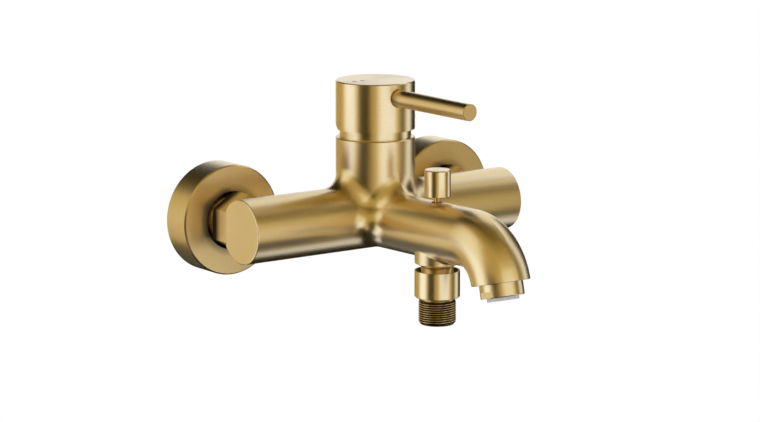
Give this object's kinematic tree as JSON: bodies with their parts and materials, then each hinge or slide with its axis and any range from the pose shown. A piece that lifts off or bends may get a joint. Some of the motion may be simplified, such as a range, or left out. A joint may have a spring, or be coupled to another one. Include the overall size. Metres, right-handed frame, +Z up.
{
  "type": "bath shower mixer",
  "caption": "Wall-mounted bath and shower mixer with a single pin-lever handle on a round tower, a curved spout, a pull-up diverter knob and a threaded hose outlet.",
  "frame": {"origin": "in the wall plane, midway between the two inlets, at the height of the arms' centre line", "axes": "+X along the arms to the right as the user faces the wall, +Y into the wall, +Z up"},
  "size_m": [0.2126, 0.2018, 0.1298],
  "materials": {
    "satin_gold": "satin, fine cast and brushed",
    "brushed_gold": "fine brushed round the axis",
    "thread_gold": "turned thread",
    "raw_brass": "machined",
    "steel": "bright",
    "rubber": "matt",
    "cartridge_plastic": "moulded",
    "white_plastic": "moulded",
    "aerator_plastic": "translucent grey",
    "plug_plastic": "moulded",
    "ceramic": "lapped ceramic",
    "red_enamel": "enamel",
    "blue_enamel": "enamel"
  },
  "bodies": {
    "root": {"mixer_body": "satin_gold", "left_escutcheon": "satin_gold", "right_escutcheon": "satin_gold", "left_s_union": "raw_brass", "right_s_union": "raw_brass", "left_union_gasket": "rubber", "right_union_gasket": "rubber", "left_inlet_nipple": "raw_brass", "right_inlet_nipple": "raw_brass", "cartridge_base": "cartridge_plastic", "cartridge_seals": "rubber", "fixed_disc": "ceramic", "cartridge_housing": "cartridge_plastic", "slip_ring": "cartridge_plastic", "cartridge_nut": "raw_brass", "dress_ring": "brushed_gold", "diverter_bush": "raw_brass", "bush_o_ring": "rubber", "diverter_spring": "steel", "shower_nipple": "thread_gold", "outlet_collar": "brushed_gold", "check_valve_body": "white_plastic", "check_valve_o_ring": "rubber", "check_valve_spring": "steel", "aerator_gasket": "rubber", "aerator_housing": "brushed_gold", "aerator_insert": "aerator_plastic", "flow_disc": "cartridge_plastic"},
    "left_nut": {"left_union_nut": "brushed_gold"},
    "right_nut": {"right_union_nut": "brushed_gold"},
    "turret": {"cartridge_turret": "cartridge_plastic", "stem_pin": "steel"},
    "handle": {"handle_cap": "brushed_gold", "lever_rod": "brushed_gold", "cartridge_stem": "raw_brass", "handle_screw": "steel", "screw_plug": "plug_plastic", "hot_mark": "red_enamel", "cold_mark": "blue_enamel"},
    "disc": {"moving_disc": "ceramic", "disc_carrier": "cartridge_plastic"},
    "diverter": {"diverter_knob": "brushed_gold", "diverter_rod": "raw_brass", "diverter_lower_seal": "rubber", "diverter_plunger": "raw_brass", "diverter_upper_seal": "rubber", "diverter_clip": "raw_brass"},
    "poppet": {"check_valve_poppet": "white_plastic"}
  },
  "joints": [
    {"name": "handle_turn", "type": "hinge", "parent": "root", "child": "turret", "pos_m": [0, -0.0526, 0.035], "axis": [0, 0, 1], "range_deg": [-50, 50]},
    {"name": "handle_tilt", "type": "hinge", "parent": "turret", "child": "handle", "pos_m": [0, -0.0526, 0.035], "axis": [-1, 0, 0], "range_deg": [0, 25]},
    {"name": "disc_slide", "type": "slide", "parent": "turret", "child": "disc", "axis": [0, -1, 0], "range_m": [0, 0.00424]},
    {"name": "diverter_lift", "type": "slide", "parent": "root", "child": "diverter", "axis": [0, 0, 1], "range_m": [0, 0.0079], "stiffness_N_per_m": 60, "springref_m": -0.02, "deforming": ["diverter_spring"]},
    {"name": "check_valve_lift", "type": "slide", "parent": "root", "child": "poppet", "axis": [0, 0, -1], "range_m": [0, 0.003], "stiffness_N_per_m": 60, "springref_m": -0.01, "deforming": ["check_valve_spring"]},
    {"name": "left_nut_spin", "type": "hinge", "parent": "root", "child": "left_nut", "pos_m": [-0.075, -0.03, 0], "axis": [0, -1, 0], "continuous": true},
    {"name": "right_nut_spin", "type": "hinge", "parent": "root", "child": "right_nut", "pos_m": [0.075, -0.03, 0], "axis": [0, -1, 0], "continuous": true}
  ],
  "couplings": [
    {"joint": "disc_slide", "follows": "handle_tilt", "m_per_rad": 0.009686}
  ]
}
